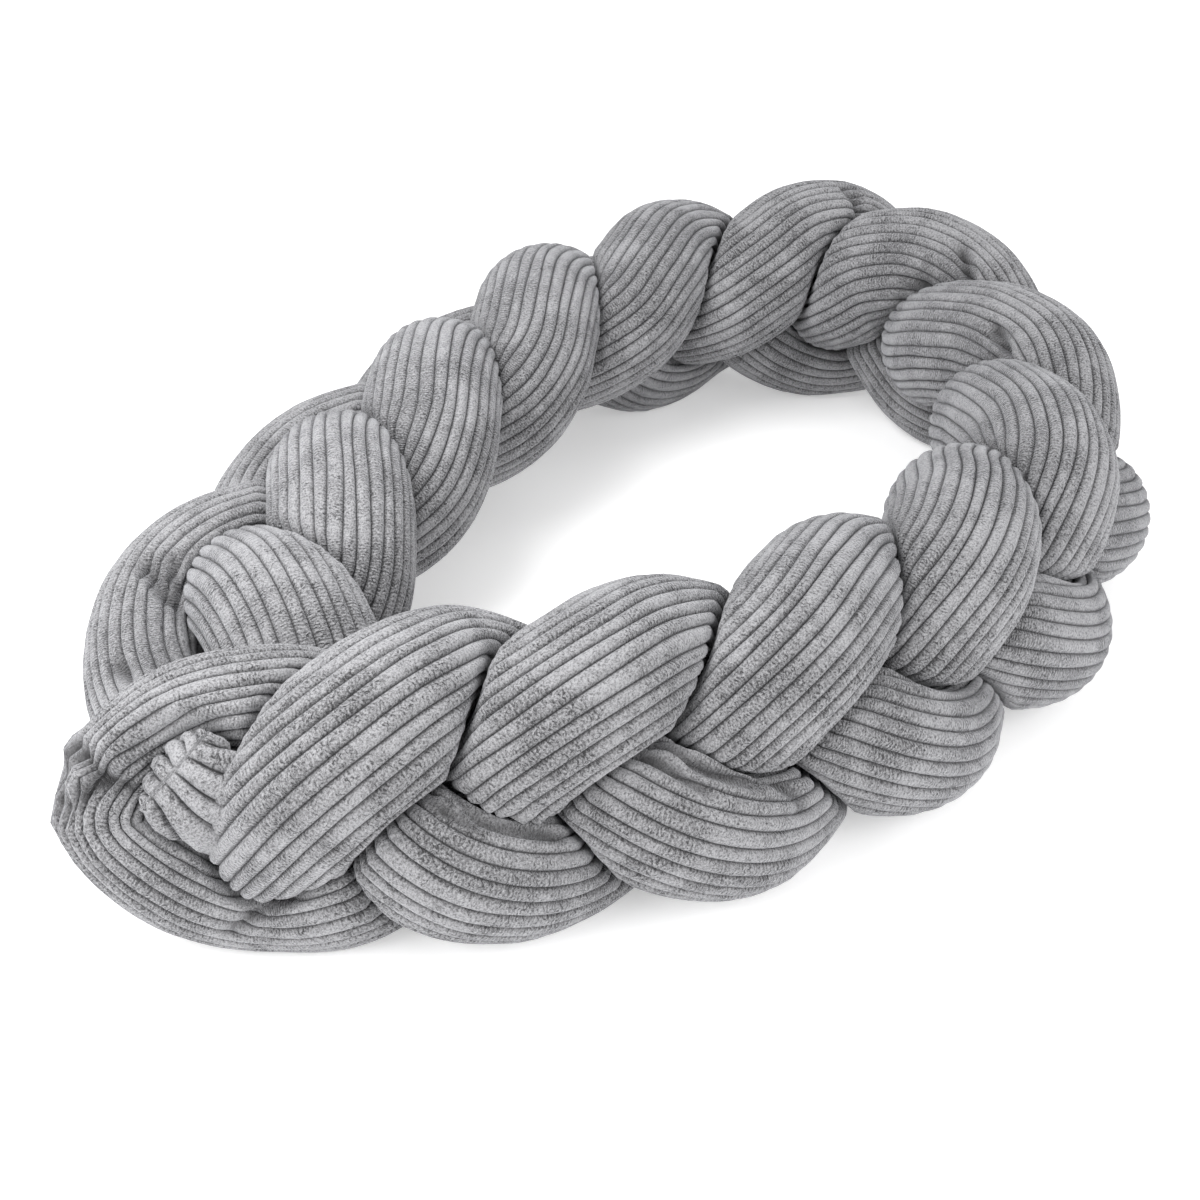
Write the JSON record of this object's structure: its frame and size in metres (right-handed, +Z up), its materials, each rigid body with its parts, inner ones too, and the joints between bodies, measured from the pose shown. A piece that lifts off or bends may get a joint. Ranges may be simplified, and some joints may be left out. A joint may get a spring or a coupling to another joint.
{
  "type": "braided crib bumper",
  "caption": "Stuffed tubes of wide-ribbed plush, plaited into one thick soft rope and laid on the floor in a closed oval.",
  "frame": {"origin": "on the floor, under the middle of the oval", "axes": "+X along the oval's length, away from the folded near end; +Y across it; +Z up from the floor"},
  "size_m": [0.9182, 0.5987, 0.1866],
  "materials": {
    "plush": "matt wide-ribbed plush"
  },
  "bodies": {
    "root": {"long_tube": "plush", "single_tube": "plush"}
  },
  "joints": []
}
